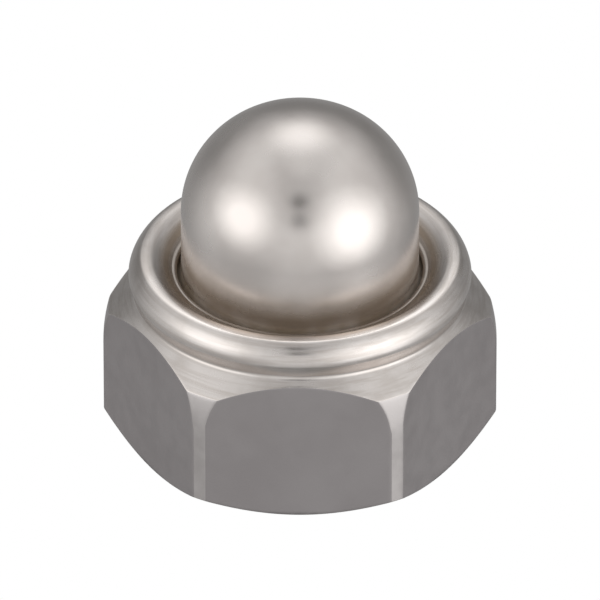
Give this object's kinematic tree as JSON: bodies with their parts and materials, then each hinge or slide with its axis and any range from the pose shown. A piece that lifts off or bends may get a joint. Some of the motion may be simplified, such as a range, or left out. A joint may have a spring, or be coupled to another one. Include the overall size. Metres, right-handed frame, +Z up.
{
  "type": "cap nut",
  "caption": "Self-locking domed cap nut: a hexagon nut whose rolled collar holds a plastic locking ring and a pressed dome that covers the screw's end.",
  "frame": {"origin": "centre of the bearing face, on the thread's axis", "axes": "+Z up the thread's axis towards the dome; two flats of the hexagon face -Y and +Y, and two corners point along -X and +X"},
  "size_m": [0.0148, 0.013, 0.0134],
  "materials": {
    "body_steel": "satin, turned collar and matte pressed flats",
    "ring_nylon": "matte",
    "cap_steel": "satin polished"
  },
  "bodies": {
    "root": {"nut_body": "body_steel", "locking_ring": "ring_nylon", "dome_cap": "cap_steel"}
  },
  "joints": []
}
